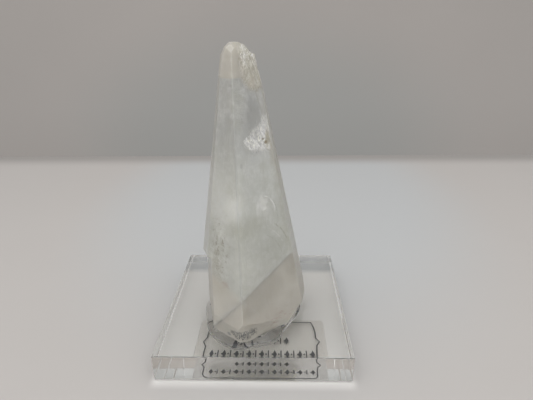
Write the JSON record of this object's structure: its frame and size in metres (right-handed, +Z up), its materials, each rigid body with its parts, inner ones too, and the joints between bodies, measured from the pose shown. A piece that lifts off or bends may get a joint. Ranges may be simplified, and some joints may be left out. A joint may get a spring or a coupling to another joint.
{
  "type": "dogtooth calcite crystal on a clear slab",
  "caption": "Steep milky dogtooth calcite crystal standing point up, its broken foot glued to a clear square slab with a clear film label stuck underneath.",
  "frame": {"origin": "middle of the underside, on the surface that the part stands on", "axes": "+Z up along the crystal towards its point; -Y is the front, where the label is read; +X is the right as seen from the front"},
  "size_m": [0.0508, 0.0508, 0.081],
  "materials": {
    "crystal": "milky and translucent, glassy faces with frosted and tan patches",
    "glue": "clear, glossy",
    "base": "clear, polished",
    "label": "clear film with black print"
  },
  "bodies": {
    "root": {"crystal": "crystal", "glue": "glue", "base": "base", "label": "label"}
  },
  "joints": []
}
